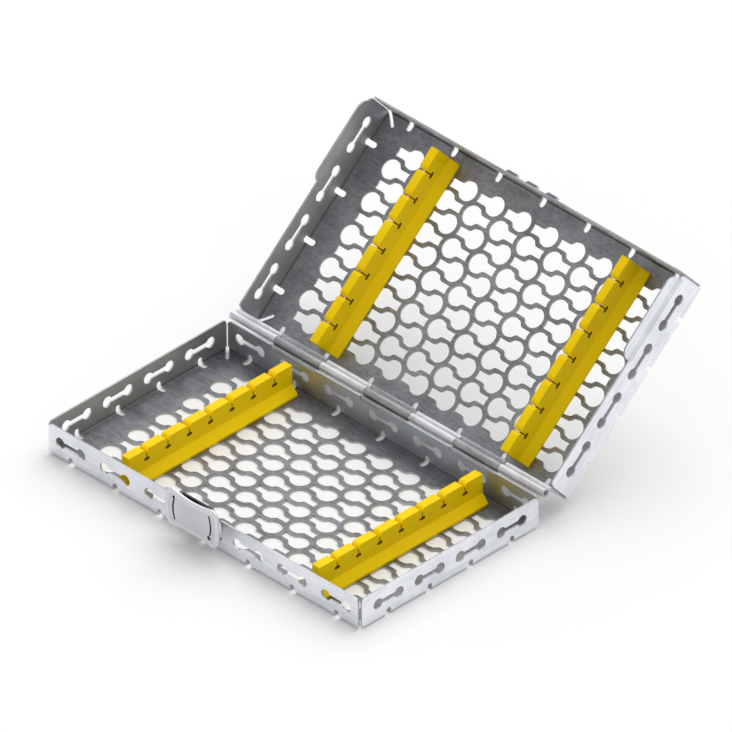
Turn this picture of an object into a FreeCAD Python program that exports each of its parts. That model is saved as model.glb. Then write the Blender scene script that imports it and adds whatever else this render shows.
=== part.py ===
"""Hinged sterilization container: two perforated steel trays with silicone combs and a hook latch.

Frame: X along the hinge, Y from the latch side (-Y) to the hinge side (+Y), Z up.
The origin is the middle of the base's underside, and the lid stands open as it is used.
"""
import FreeCAD
import Part
import math
import os

Vec = FreeCAD.Vector
X_AXIS = Vec(1, 0, 0)
Y_AXIS = Vec(0, 1, 0)
Z_AXIS = Vec(0, 0, 1)

# Both trays
LENGTH = 184.0
WIDTH = 105.0
BASE_HEIGHT = 15.4
LID_HEIGHT = 17.0
SHEET = 0.8
BEND_RADIUS = 1.0
CORNER_GAP = 1.5
RIM_CORNER = 1.5
FOOT_CORNER = 3.0
RIM_GAP = 0.2

# Relief slots that run from each corner into the panel
RELIEF_WIDTH = 1.8
RELIEF_REACH = 6.0

# Interlocking keyholes of the panels, in rows that point opposite ways
HOLE_PITCH = 15.8
ROW_PITCH = 8.0
HEAD_RADIUS = 4.35
NECK_WIDTH = 3.7
NECK_ROOT = 4.3
SHOULDER_ANGLE = 60.0
WEB = 2.0
PANEL_MARGIN_X = 12.0
PANEL_MARGIN_Y = 7.5
HEAD_FLATS = 6
BASE_PATTERN = Vec(1.7, -1.8, 0)
LID_PATTERN = Vec(0.1, 1.3, 0)

# Dumbbell slots in the walls, each with a slot across the bend below it
LOBE_RADIUS = 2.6
LOBE_SPACING = 12.2
LOBE_FLATS = 5
SLOT_WIDTH = 2.4
SLOT_BELOW_RIM = 6.9
LONG_PITCH = 26.0
LONG_COUNT = 7
SIDE_PITCH = 23.9
SIDE_COUNT = 4
BEND_SLOT_WIDTH = 2.6
BEND_SLOT_RISE = 3.8
BEND_SLOT_REACH = 4.7
BEND_SLOT_FLATS = 3

# Hinge
PIN_DIAMETER = 2.0
PIN_CLEARANCE = 0.05
HINGE_OFFSET = 2.95
LEAF_BEND = 1.0
ROLL_ANGLE = 290.0
KNUCKLES = 7
KNUCKLE_GAP = 0.3
PIN_RECESS = 1.0
OPEN_ANGLE = 139.4

# Skirts of the lid's side walls, which nest inside the base
SKIRT_DEPTH = 5.3
SKIRT_CLEARANCE = 0.3
SKIRT_JOGGLE = 1.6
SKIRT_LENGTH = 39.5
SKIRT_SETBACK = 3.5
SKIRT_CORNER = 4.0

# Catch bumps in the middle of the lid's front wall
BUMP_COUNT = 3
BUMP_PITCH = 11.7
BUMP_WIDTH = 5.8
BUMP_HEIGHT = 2.8
BUMP_DEPTH = 1.4
BUMP_FROM_RIM = 1.8

# Combs and the rails that they are pressed on
COMB_LENGTH = 95.0
COMB_HEIGHT = 14.4
BLADE_THICKNESS = 4.5
COMB_FOOT_WIDTH = 10.9
COMB_FOOT_EDGE = 1.2
COMB_FOOT_SLOPE = 3.7
COMB_SLOTS = 7
COMB_PITCH = 12.4
MOUTH_WIDTH = 3.8
SLIT_WIDTH = 0.6
SLOT_DEPTH = 4.8
SLOT_END_LENGTH = 3.0
SLOT_END_HEIGHT = 1.3
LEFT_COMB_INSET = 41.1
RIGHT_COMB_INSET = 31.0
LID_COMB_SHIFT = 1.1
RAIL_TOP_WIDTH = 6.0
RAIL_FOOT_WIDTH = 4.4
RAIL_HEIGHT = 2.2
RAIL_CLEARANCE = 0.15
RAIL_SETBACK = 2.5

# Latch: a pale pull plate on a dark hook bracket that swings on a pin in the front wall
PLATE_WIDTH = 31.6
PLATE_HEIGHT = 18.6
PLATE_THICKNESS = 1.2
PLATE_BOTTOM = 6.1
PLATE_STANDOFF = 6.8
PLATE_SAG = 1.6
PLATE_FOOT = 0.8
PLATE_SLIT = 0.8
PLATE_SLIT_X = 10.3
PLATE_SLIT_LENGTH = 11.4
PLATE_SLIT_BULGE = 1.1
PLATE_SLIT_HOLE = 1.7
HOOK_SHEET = 0.8
HOOK_WIDTH = 16.8
HOOK_BAR_WIDTH = 19.5
HOOK_BAR_HEIGHT = 2.0
HOOK_BAR_CORNER = 1.6
HOOK_CLEARANCE = 0.25
CATCH_CLEARANCE = 0.45
LATCH_PIN_DIAMETER = 1.6
LATCH_PIN_HEIGHT = 7.0
LATCH_KNUCKLE = 12.0
LATCH_EAR = 3.1
LATCH_GAP = 0.3
LATCH_SWING = 9.0
NOTCH_WIDTH = 20.4
NOTCH_RELIEF = 1.0
CHEEK_MARGIN = 1.5

# Places that follow from the sizes above
BEND_OUT = SHEET + BEND_RADIUS
AXIS_Y = WIDTH / 2 + HINGE_OFFSET
AXIS_Z = BASE_HEIGHT + RIM_GAP / 2
ROLL_INNER = PIN_DIAMETER / 2 + PIN_CLEARANCE
ROLL_MIDDLE = ROLL_INNER + SHEET / 2
ROLL_OUTER = ROLL_INNER + SHEET
FRONT_Y = -WIDTH / 2
LATCH_PIN_Y = FRONT_Y + SHEET / 2


def wire(*edges):
    return Part.Wire([edge.toShape() for edge in edges])


def line(a, b):
    return Part.LineSegment(a, b)


def arc(a, middle, b):
    return Part.Arc(a, middle, b)


def polygon(points):
    return Part.makePolygon(points + [points[0]])


def prism(outline, reach):
    return Part.Face(outline).extrude(reach)


def box(x0, x1, y0, y1, z0, z1):
    return Part.makeBox(x1 - x0, y1 - y0, z1 - z0, Vec(x0, y0, z0))


def moved(shape, x=0.0, y=0.0, z=0.0):
    copy = shape.copy()
    copy.translate(Vec(x, y, z))
    return copy


def turned(shape, axis, angle, centre=Vec(0, 0, 0)):
    copy = shape.copy()
    copy.rotate(centre, axis, angle)
    return copy


def spread(count, pitch):
    return [(i - (count - 1) / 2) * pitch for i in range(count)]


def flats(centre, radius, start, end, count):
    """Points along an arc in the XY plane, from one angle to the other in degrees."""
    step = math.radians(end - start) / count
    first = math.radians(start)
    return [centre + Vec(math.cos(first + i * step), math.sin(first + i * step), 0) * radius
            for i in range(count + 1)]


def rounded_rectangle(x0, x1, z0, z1, low_radius, high_radius):
    """Outline in the XZ plane whose lower and upper corners have their own radii."""
    low = low_radius * (1 - math.sqrt(0.5))
    high = high_radius * (1 - math.sqrt(0.5))
    return wire(
        line(Vec(x0 + low_radius, 0, z0), Vec(x1 - low_radius, 0, z0)),
        arc(Vec(x1 - low_radius, 0, z0), Vec(x1 - low, 0, z0 + low), Vec(x1, 0, z0 + low_radius)),
        line(Vec(x1, 0, z0 + low_radius), Vec(x1, 0, z1 - high_radius)),
        arc(Vec(x1, 0, z1 - high_radius), Vec(x1 - high, 0, z1 - high), Vec(x1 - high_radius, 0, z1)),
        line(Vec(x1 - high_radius, 0, z1), Vec(x0 + high_radius, 0, z1)),
        arc(Vec(x0 + high_radius, 0, z1), Vec(x0 + high, 0, z1 - high), Vec(x0, 0, z1 - high_radius)),
        line(Vec(x0, 0, z1 - high_radius), Vec(x0, 0, z0 + low_radius)),
        arc(Vec(x0, 0, z0 + low_radius), Vec(x0 + low, 0, z0 + low), Vec(x0 + low_radius, 0, z0)))


def keyhole(x, y, direction):
    """Outline of one opening: a round head, two sloping shoulders and a neck up to the next head."""
    half = NECK_WIDTH / 2
    head = flats(Vec(0, 0, 0), HEAD_RADIUS, SHOULDER_ANGLE, 360 - SHOULDER_ANGLE, HEAD_FLATS)
    neck_end = HOLE_PITCH - math.sqrt((HEAD_RADIUS + WEB) ** 2 - half ** 2)
    neck = [Vec(NECK_ROOT, -half, 0), Vec(neck_end, -half, 0), Vec(neck_end, half, 0), Vec(NECK_ROOT, half, 0)]
    points = head + neck
    points = points[::-1] if direction > 0 else points
    return polygon([Vec(x + direction * p.x, y + p.y, 0) for p in points])


def keyholes(pattern):
    """Every opening of a panel, as many rows and columns as fit, about the middle of the pattern."""
    reach = HOLE_PITCH - HEAD_RADIUS - WEB
    room_x = LENGTH - 2 * PANEL_MARGIN_X - reach - HEAD_RADIUS
    room_y = WIDTH - 2 * (PANEL_MARGIN_Y + HEAD_RADIUS)
    columns = int(room_x / HOLE_PITCH) + 1
    rows = int(room_y / ROW_PITCH / 2) * 2 + 1
    outlines = []
    for row, y in enumerate(spread(rows, ROW_PITCH)):
        direction = -1 if row % 2 == 0 else 1
        for x in spread(columns, HOLE_PITCH):
            head = pattern + Vec(x - direction * HOLE_PITCH / 4, y, 0)
            outlines.append(keyhole(head.x, head.y, direction))
    return outlines


def panel(pattern):
    """The flat perforated floor between the bends."""
    x = LENGTH / 2 - BEND_OUT
    y = WIDTH / 2 - BEND_OUT
    edge = polygon([Vec(-x, -y, 0), Vec(x, -y, 0), Vec(x, y, 0), Vec(-x, y, 0)])
    return Part.Face([edge] + keyholes(pattern)).extrude(Vec(0, 0, SHEET))


def flange(length, height):
    """A bend and its wall along X, with the wall's outer face at Y = 0 and outward as -Y."""
    half = math.sqrt(0.5)
    centre = Vec(0, BEND_OUT, BEND_OUT)
    outline = wire(
        arc(Vec(0, BEND_OUT, 0), centre - Vec(0, half, half) * BEND_OUT, Vec(0, 0, BEND_OUT)),
        line(Vec(0, 0, BEND_OUT), Vec(0, 0, height)),
        line(Vec(0, 0, height), Vec(0, SHEET, height)),
        line(Vec(0, SHEET, height), Vec(0, SHEET, BEND_OUT)),
        arc(Vec(0, SHEET, BEND_OUT), centre - Vec(0, half, half) * BEND_RADIUS, Vec(0, BEND_OUT, SHEET)),
        line(Vec(0, BEND_OUT, SHEET), Vec(0, BEND_OUT, 0)))
    strip = moved(prism(outline, Vec(length, 0, 0)), x=-length / 2)
    side = rounded_rectangle(-length / 2, length / 2, 0, height, FOOT_CORNER, RIM_CORNER)
    return strip.common(prism(side, Vec(0, BEND_OUT, 0)))


def on_sides(shape):
    """A shape drawn on the front wall's outer face, copied to the left and right walls."""
    right = moved(turned(shape, Z_AXIS, 90), x=LENGTH / 2)
    left = moved(turned(shape, Z_AXIS, -90), x=-LENGTH / 2)
    return [right, left]


def on_front(shape):
    return moved(shape, y=FRONT_Y)


def on_rear(shape):
    return moved(turned(shape, Z_AXIS, 180), y=WIDTH / 2)


def dumbbell(height):
    """Cutter for one wall slot: two round lobes joined by a narrow slot, drawn on the front wall."""
    mouth = math.degrees(math.asin(SLOT_WIDTH / 2 / LOBE_RADIUS))
    half = LOBE_SPACING / 2
    right = flats(Vec(half, 0, 0), LOBE_RADIUS, mouth - 180, 180 - mouth, LOBE_FLATS)
    left = flats(Vec(-half, 0, 0), LOBE_RADIUS, mouth, 360 - mouth, LOBE_FLATS)
    flat = polygon(right + left)
    cutter = turned(prism(flat, Vec(0, 0, 3 * SHEET)), X_AXIS, 90)
    return moved(cutter, y=2 * SHEET, z=height - SLOT_BELOW_RIM)


def bend_slot():
    """Cutter for one slot across a bend, with a round end in the wall and in the panel."""
    radius = BEND_SLOT_WIDTH / 2
    wall_end = flats(Vec(0, BEND_SLOT_RISE - radius, 0), radius, 0, 180, BEND_SLOT_FLATS)
    in_wall = polygon(wall_end + [Vec(-radius, -SHEET, 0), Vec(radius, -SHEET, 0)])
    wall_cut = moved(turned(prism(in_wall, Vec(0, 0, BEND_OUT + SHEET)), X_AXIS, 90), y=BEND_OUT)
    panel_end = flats(Vec(0, BEND_SLOT_REACH - radius, 0), radius, 0, 180, BEND_SLOT_FLATS)
    in_panel = polygon(panel_end + [Vec(-radius, -SHEET, 0), Vec(radius, -SHEET, 0)])
    panel_cut = moved(prism(in_panel, Vec(0, 0, BEND_OUT + SHEET)), z=-SHEET)
    return wall_cut.fuse(panel_cut)


def corner_reliefs():
    """Cutters that open each corner and run a round-ended slot into the panel."""
    cutters = []
    for sx in (-1, 1):
        for sy in (-1, 1):
            corner = Vec(sx * LENGTH / 2, sy * WIDTH / 2, -SHEET)
            inward = Vec(-sx, -sy, 0)
            end = corner + inward * RELIEF_REACH
            across = Vec(sx, -sy, 0) * (RELIEF_WIDTH / 2 * math.sqrt(0.5))
            slot = polygon([corner + across, end + across, end - across, corner - across])
            depth = Vec(0, 0, SHEET + BEND_OUT)
            cutters.append(prism(slot, depth))
            cutters.append(Part.makeCylinder(RELIEF_WIDTH / 2, depth.z, end))
    return cutters


def knuckle(height, x0, x1):
    """One rolled knuckle and the leaf that bends out to it from the rear wall."""
    wall_y = WIDTH / 2
    axis = Vec(0, AXIS_Y, height + RIM_GAP / 2)
    leaf_z = axis.z - ROLL_MIDDLE
    bend = Vec(0, wall_y - SHEET / 2 + LEAF_BEND, leaf_z - LEAF_BEND)
    diagonal = Vec(0, -math.sqrt(0.5), math.sqrt(0.5))
    inner = LEAF_BEND - SHEET / 2
    outer = LEAF_BEND + SHEET / 2

    def on_roll(radius, angle):
        turn = math.radians(angle - 90)
        return axis + Vec(0, math.cos(turn), math.sin(turn)) * radius

    outline = wire(
        arc(bend + Vec(0, -outer, 0), bend + diagonal * outer, bend + Vec(0, 0, outer)),
        line(bend + Vec(0, 0, outer), on_roll(ROLL_INNER, 0)),
        arc(on_roll(ROLL_INNER, 0), on_roll(ROLL_INNER, ROLL_ANGLE / 2), on_roll(ROLL_INNER, ROLL_ANGLE)),
        line(on_roll(ROLL_INNER, ROLL_ANGLE), on_roll(ROLL_OUTER, ROLL_ANGLE)),
        arc(on_roll(ROLL_OUTER, ROLL_ANGLE), on_roll(ROLL_OUTER, ROLL_ANGLE / 2), on_roll(ROLL_OUTER, 0)),
        line(on_roll(ROLL_OUTER, 0), bend + Vec(0, 0, inner)),
        arc(bend + Vec(0, 0, inner), bend + diagonal * inner, bend + Vec(0, -inner, 0)),
        line(bend + Vec(0, -inner, 0), bend + Vec(0, -outer, 0)))
    return moved(prism(outline, Vec(x1 - x0, 0, 0)), x=x0)


def knuckle_spans(first):
    """Start and end along X of every second knuckle, from the first one that is asked for."""
    pitch = LENGTH / KNUCKLES
    spans = []
    for i in range(first, KNUCKLES, 2):
        start = -LENGTH / 2 + i * pitch
        left = start if i == 0 else start + KNUCKLE_GAP / 2
        right = start + pitch if i == KNUCKLES - 1 else start + pitch - KNUCKLE_GAP / 2
        spans.append((left, right))
    return spans


def skirt(height):
    """One skirt on the right wall: the sheet steps inward at the rim and runs on past it."""
    step = SHEET + SKIRT_CLEARANCE
    low = height - SKIRT_JOGGLE
    rim = height - RIM_GAP / 2
    top = height + SKIRT_DEPTH
    start = -WIDTH / 2 + SKIRT_SETBACK
    outline = polygon([Vec(0, 0, low), Vec(0, step, rim), Vec(0, step, top), Vec(0, step + SHEET, top),
                       Vec(0, step + SHEET, rim), Vec(0, SHEET, low)])
    strip = moved(prism(outline, Vec(SKIRT_LENGTH, 0, 0)), x=start)
    side = rounded_rectangle(start, start + SKIRT_LENGTH, low - SHEET, top, SHEET / 2, SKIRT_CORNER)
    strip = strip.common(prism(side, Vec(0, step + 2 * SHEET, 0)))
    return moved(turned(strip, Z_AXIS, 90), x=LENGTH / 2)


def skirt_gap(height):
    """The stretch of the right wall's rim that the skirt takes the place of."""
    start = -WIDTH / 2 + SKIRT_SETBACK
    return box(LENGTH / 2 - 2 * SHEET, LENGTH / 2 + SHEET, start, start + SKIRT_LENGTH,
               height - SKIRT_JOGGLE, height + SHEET)


def mirrored(shape):
    return shape.mirror(Vec(0, 0, 0), X_AXIS)


def tray(height, first_knuckle, pattern):
    """A folded tray with its panel's outer face at Z = 0 and its walls standing up."""
    leaf_z = height + RIM_GAP / 2 - ROLL_MIDDLE
    long_wall = flange(LENGTH - 2 * CORNER_GAP, height)
    rear_wall = flange(LENGTH - 2 * CORNER_GAP, leaf_z)
    side_wall = flange(WIDTH - 2 * CORNER_GAP, height)
    walls = [on_front(long_wall), on_rear(rear_wall)] + on_sides(side_wall)
    body = panel(pattern).fuse(walls)

    cuts = []
    slot = dumbbell(height)
    across = bend_slot()
    for x in spread(LONG_COUNT, LONG_PITCH):
        cuts.append(on_rear(moved(slot, x=x)))
        cuts.append(on_rear(moved(across, x=x)))
        cuts.append(on_front(moved(across, x=x)))
        if abs(x) > HOOK_BAR_WIDTH / 2:
            cuts.append(on_front(moved(slot, x=x)))
    for y in spread(SIDE_COUNT, SIDE_PITCH):
        cuts += on_sides(moved(slot, x=y))
        cuts += on_sides(moved(across, x=y))
    for x0, x1 in knuckle_spans(first_knuckle):
        cuts.append(box(x0 - KNUCKLE_GAP, x1 + KNUCKLE_GAP, WIDTH / 2 - 2 * SHEET, WIDTH / 2 + SHEET,
                        leaf_z - LEAF_BEND, height + SHEET))
    body = body.cut(cuts + corner_reliefs())
    leaves = [knuckle(height, x0, x1) for x0, x1 in knuckle_spans(first_knuckle)]
    return body.fuse(leaves)


def tube_along_x(x0, x1, y, z, radius):
    return Part.makeCylinder(radius, x1 - x0, Vec(x0, y, z), X_AXIS)


def latch_knuckle_radius():
    return LATCH_PIN_DIAMETER / 2 + PIN_CLEARANCE + HOOK_SHEET


def base_tray():
    body = tray(BASE_HEIGHT, 1, BASE_PATTERN)
    ring = latch_knuckle_radius()
    notch_floor = LATCH_PIN_HEIGHT - ring - HOOK_CLEARANCE
    half = NOTCH_WIDTH / 2
    reach = Vec(0, 3 * SHEET, 0)
    notch = box(-half, half, FRONT_Y - SHEET, FRONT_Y + 2 * SHEET, notch_floor, BASE_HEIGHT + SHEET)
    reliefs = [Part.makeCylinder(NOTCH_RELIEF, reach.y, Vec(side * half, FRONT_Y - SHEET, LATCH_PIN_HEIGHT), Y_AXIS)
               for side in (-1, 1)]
    body = body.cut([notch] + reliefs)
    ears = []
    for side in (-1, 1):
        near = side * (LATCH_KNUCKLE / 2 + LATCH_GAP)
        far = side * (LATCH_KNUCKLE / 2 + LATCH_GAP + LATCH_EAR)
        x0, x1 = min(near, far), max(near, far)
        ears.append(tube_along_x(x0, x1, LATCH_PIN_Y, LATCH_PIN_HEIGHT, ring))
        ears.append(box(x0, x1, FRONT_Y, FRONT_Y + SHEET, notch_floor, LATCH_PIN_HEIGHT))
    body = body.fuse(ears)
    bore = tube_along_x(-half, half, LATCH_PIN_Y, LATCH_PIN_HEIGHT, LATCH_PIN_DIAMETER / 2 + PIN_CLEARANCE)
    return body.cut(bore).removeSplitter()


def catch_bump(x):
    """A bump pressed out of the lid's front wall, square on the side that the hook holds."""
    held = LID_HEIGHT - BUMP_FROM_RIM - BUMP_HEIGHT
    free = LID_HEIGHT - BUMP_FROM_RIM
    root = FRONT_Y + SHEET / 2
    tip = FRONT_Y - BUMP_DEPTH
    outline = polygon([Vec(0, root, held), Vec(0, tip, held), Vec(0, tip, held + BUMP_HEIGHT / 2),
                       Vec(0, FRONT_Y, free), Vec(0, root, free)])
    return moved(prism(outline, Vec(BUMP_WIDTH, 0, 0)), x=x - BUMP_WIDTH / 2)


def lid_tray():
    body = tray(LID_HEIGHT, 0, LID_PATTERN)
    gap = skirt_gap(LID_HEIGHT)
    right = skirt(LID_HEIGHT)
    body = body.cut([gap, mirrored(gap)])
    bumps = [catch_bump(x) for x in spread(BUMP_COUNT, BUMP_PITCH)]
    return body.fuse([right, mirrored(right)] + bumps).removeSplitter()


def as_lid(shape):
    """Turns a shape from the tray's own frame over onto the base, and opens it on the hinge."""
    closed = shape.mirror(Vec(0, 0, 0), Z_AXIS)
    closed.translate(Vec(0, 0, AXIS_Z + RIM_GAP / 2 + LID_HEIGHT))
    closed.rotate(Vec(0, AXIS_Y, AXIS_Z), X_AXIS, -OPEN_ANGLE)
    return closed


def hinge_pin():
    half = LENGTH / 2 - PIN_RECESS
    return tube_along_x(-half, half, AXIS_Y, AXIS_Z, PIN_DIAMETER / 2)


def rail_section(x, clearance):
    foot = RAIL_FOOT_WIDTH / 2 + clearance
    top = RAIL_TOP_WIDTH / 2 + clearance
    height = RAIL_HEIGHT + clearance
    return polygon([Vec(x - foot, 0, SHEET), Vec(x + foot, 0, SHEET), Vec(x + top, 0, SHEET + height),
                    Vec(x - top, 0, SHEET + height)])


def rail(x, clearance=0.0):
    """Dovetail bar on the panel; with a clearance it is the groove in the comb's foot."""
    half = COMB_LENGTH / 2 - RAIL_SETBACK + clearance
    return moved(prism(rail_section(x, clearance), Vec(0, 2 * half, 0)), y=-half)


def comb_slot():
    """Cutter for one instrument slot: a round-shouldered mouth, a slit and an oblong hole at its end."""
    top = SHEET + COMB_HEIGHT
    shoulder = (MOUTH_WIDTH - SLIT_WIDTH) / 2
    round_end = SLOT_END_HEIGHT / 2
    reach_end = SLOT_END_LENGTH / 2 - round_end
    slit_foot = top - SLOT_DEPTH + round_end
    left = flats(Vec(-MOUTH_WIDTH / 2, top - shoulder, 0), shoulder, 90, 0, 3)
    right = flats(Vec(MOUTH_WIDTH / 2, top - shoulder, 0), shoulder, 180, 90, 3)
    hole = [Vec(-SLIT_WIDTH / 2, slit_foot, 0)]
    hole += flats(Vec(-reach_end, top - SLOT_DEPTH, 0), round_end, 90, 270, 3)
    hole += flats(Vec(reach_end, top - SLOT_DEPTH, 0), round_end, 270, 450, 3)
    hole += [Vec(SLIT_WIDTH / 2, slit_foot, 0)]
    points = left + hole + right + [Vec(MOUTH_WIDTH / 2, top + SHEET, 0), Vec(-MOUTH_WIDTH / 2, top + SHEET, 0)]
    reach = Vec(COMB_FOOT_WIDTH, 0, 0)
    return moved(prism(polygon([Vec(0, p.x, p.y) for p in points]), reach), x=-reach.x / 2)


def comb(x):
    """Silicone comb: a slotted blade on a sloping foot, hollow underneath for its rail."""
    blade = BLADE_THICKNESS / 2
    foot = COMB_FOOT_WIDTH / 2
    edge = SHEET + COMB_FOOT_EDGE
    slope = edge + COMB_FOOT_SLOPE
    top = SHEET + COMB_HEIGHT
    section = polygon([Vec(-foot, 0, SHEET), Vec(foot, 0, SHEET), Vec(foot, 0, edge), Vec(blade, 0, slope),
                       Vec(blade, 0, top), Vec(-blade, 0, top), Vec(-blade, 0, slope), Vec(-foot, 0, edge)])
    body = moved(prism(section, Vec(0, COMB_LENGTH, 0)), y=-COMB_LENGTH / 2)
    slot = comb_slot()
    slots = [moved(slot, y=y) for y in spread(COMB_SLOTS, COMB_PITCH)]
    return moved(body.cut(slots), x=x).cut(rail(x, RAIL_CLEARANCE))


def latch_at_rest(shape):
    """Swings a shape from the latched place, upright on the pin, out to where it rests."""
    return turned(shape, X_AXIS, LATCH_SWING, Vec(0, LATCH_PIN_Y, LATCH_PIN_HEIGHT))


def latch_bracket():
    """Dark hook: a web with windows for the catch bumps, two cheeks and a rolled knuckle."""
    face = FRONT_Y - HOOK_CLEARANCE
    back = face - HOOK_SHEET
    half = HOOK_WIDTH / 2
    ring = latch_knuckle_radius()
    low = LATCH_PIN_HEIGHT + ring + LATCH_GAP
    catch_low = BASE_HEIGHT + RIM_GAP + BUMP_FROM_RIM - CATCH_CLEARANCE
    catch_high = catch_low + BUMP_HEIGHT + 2 * CATCH_CLEARANCE
    top = catch_high + HOOK_BAR_HEIGHT
    window = BUMP_WIDTH / 2 + CATCH_CLEARANCE
    knuckle_half = LATCH_KNUCKLE / 2
    bar = HOOK_BAR_WIDTH / 2
    web = box(-half, half, back, face, low, catch_high).cut(
        box(-window, window, back - SHEET, face + SHEET, catch_low, catch_high))
    bar_outline = rounded_rectangle(-bar, bar, catch_high, top, HOOK_BAR_CORNER / 5, HOOK_BAR_CORNER)
    hook_bar = moved(prism(bar_outline, Vec(0, HOOK_SHEET, 0)), y=back)
    neck = box(-knuckle_half, knuckle_half, back, face, LATCH_PIN_HEIGHT, low)
    roll = tube_along_x(-knuckle_half, knuckle_half, LATCH_PIN_Y, LATCH_PIN_HEIGHT, ring)
    bore = tube_along_x(-half, half, LATCH_PIN_Y, LATCH_PIN_HEIGHT, ring - HOOK_SHEET)
    upright = web.fuse([hook_bar, neck, roll]).cut(bore)
    body = latch_at_rest(upright)

    pivot = Vec(0, LATCH_PIN_Y, LATCH_PIN_HEIGHT)
    turn = FreeCAD.Rotation(X_AXIS, LATCH_SWING)
    middle = (face + back) / 2
    lower = pivot + turn.multVec(Vec(0, middle, low + CHEEK_MARGIN) - pivot)
    upper = pivot + turn.multVec(Vec(0, middle, catch_high) - pivot)
    plate_back = FRONT_Y - PLATE_STANDOFF + PLATE_THICKNESS
    section = polygon([lower, upper, Vec(0, plate_back, upper.z), Vec(0, plate_back, lower.z)])
    cheek = prism(section, Vec(HOOK_SHEET, 0, 0))
    cheeks = [moved(cheek, x=half - HOOK_SHEET), moved(cheek, x=-half)]
    return body.fuse(cheeks).removeSplitter()


def latch_plate():
    """Pale pull plate with bowed sides, a dip along the top and two feet below."""
    half = PLATE_WIDTH / 2
    low = PLATE_BOTTOM
    high = PLATE_BOTTOM + PLATE_HEIGHT
    centre = (low + high) / 2
    right = [Vec(half - 5.6, 0, high - 0.25), Vec(half - 1.7, 0, high - 1.0), Vec(half - 0.5, 0, high - 4.2),
             Vec(half, 0, centre), Vec(half - 0.6, 0, low + 3.6), Vec(half - 2.1, 0, low + 0.7),
             Vec(half - 5.4, 0, low), Vec(half - 7.6, 0, low + PLATE_FOOT)]
    left = [Vec(-p.x, 0, p.z) for p in right]
    outline = wire(
        arc(left[0], Vec(0, 0, high - PLATE_SAG), right[0]),
        arc(right[0], right[1], right[2]),
        arc(right[2], right[3], right[4]),
        arc(right[4], right[5], right[6]),
        line(right[6], right[7]),
        line(right[7], left[7]),
        line(left[7], left[6]),
        arc(left[6], left[5], left[4]),
        arc(left[4], left[3], left[2]),
        arc(left[2], left[1], left[0]))
    thickness = Vec(0, PLATE_THICKNESS, 0)
    plate = prism(outline, thickness)

    lower = centre - PLATE_SLIT_LENGTH / 2
    upper = centre + PLATE_SLIT_LENGTH / 2
    near = PLATE_SLIT_X - PLATE_SLIT
    slit = prism(wire(
        arc(Vec(PLATE_SLIT_X, 0, lower), Vec(PLATE_SLIT_X + PLATE_SLIT_BULGE, 0, centre), Vec(PLATE_SLIT_X, 0, upper)),
        line(Vec(PLATE_SLIT_X, 0, upper), Vec(near, 0, upper)),
        arc(Vec(near, 0, upper), Vec(near + PLATE_SLIT_BULGE, 0, centre), Vec(near, 0, lower)),
        line(Vec(near, 0, lower), Vec(PLATE_SLIT_X, 0, lower))), thickness)
    hole = Part.makeCylinder(PLATE_SLIT_HOLE / 2, PLATE_THICKNESS, Vec(PLATE_SLIT_X - PLATE_SLIT / 2, 0, lower), Y_AXIS)
    cutter = slit.fuse(hole)
    plate = plate.cut([cutter, turned(cutter, Y_AXIS, 180, Vec(0, 0, centre))])
    return moved(plate, y=FRONT_Y - PLATE_STANDOFF)


def latch_pin():
    half = LATCH_KNUCKLE / 2 + LATCH_GAP + LATCH_EAR
    return tube_along_x(-half, half, LATCH_PIN_Y, LATCH_PIN_HEIGHT, LATCH_PIN_DIAMETER / 2)


def main():
    parts = {
        "base_tray": base_tray(),
        "lid_tray": as_lid(lid_tray()),
        "hinge_pin": hinge_pin(),
        "latch_bracket": latch_bracket(),
        "latch_plate": latch_plate(),
        "latch_pin": latch_pin(),
    }
    for side, x in (("left", LEFT_COMB_INSET - LENGTH / 2), ("right", LENGTH / 2 - RIGHT_COMB_INSET)):
        parts["base_" + side + "_rail"] = rail(x)
        parts["base_" + side + "_comb"] = comb(x)
        parts["lid_" + side + "_rail"] = as_lid(moved(rail(x), y=LID_COMB_SHIFT))
        parts["lid_" + side + "_comb"] = as_lid(moved(comb(x), y=LID_COMB_SHIFT))
    os.makedirs("parts", exist_ok=True)
    for name, shape in parts.items():
        solid = shape.Solids[0] if len(shape.Solids) == 1 else shape
        solid.exportStep("parts/" + name + ".step")
        print(name, len(shape.Solids), "solid", round(shape.Volume, 1), "mm3", shape.isValid())


main()
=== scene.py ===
# %% [markdown]
# # An open sterilization container
# The real object is a flat tray and a lid, both punched and folded from one sheet of steel each.
# They hold four silicone combs and are joined by a rolled hinge, and a hook latch holds them shut.
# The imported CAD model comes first, because every piece made here rides on one of its bodies.

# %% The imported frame
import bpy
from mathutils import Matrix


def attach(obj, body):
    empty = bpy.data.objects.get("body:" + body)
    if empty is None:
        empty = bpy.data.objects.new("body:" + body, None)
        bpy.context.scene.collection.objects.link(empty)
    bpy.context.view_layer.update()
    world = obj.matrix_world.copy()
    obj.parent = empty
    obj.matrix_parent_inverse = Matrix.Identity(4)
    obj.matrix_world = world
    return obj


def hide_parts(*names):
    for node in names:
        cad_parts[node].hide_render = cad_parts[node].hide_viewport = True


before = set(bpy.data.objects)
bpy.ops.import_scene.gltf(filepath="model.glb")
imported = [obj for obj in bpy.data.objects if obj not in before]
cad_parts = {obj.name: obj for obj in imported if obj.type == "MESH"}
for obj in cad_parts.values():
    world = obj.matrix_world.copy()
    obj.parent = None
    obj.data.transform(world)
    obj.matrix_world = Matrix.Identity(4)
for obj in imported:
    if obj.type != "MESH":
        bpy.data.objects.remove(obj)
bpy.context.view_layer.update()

import math

import bmesh
import bpy
from mathutils import Matrix, Vector

# %% [markdown]
# ## Sizes
# The drawing of such a tray is in millimetres, and Blender works in metres.
# One factor turns the first into the second, and each size is written once under the name that a maker
# would use. SLACK says how near a corner is to where it is looked for, and MERGE when two corners are one.
# The lid is drawn lying on its back like the base, and is turned over and opened at the end.

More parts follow.
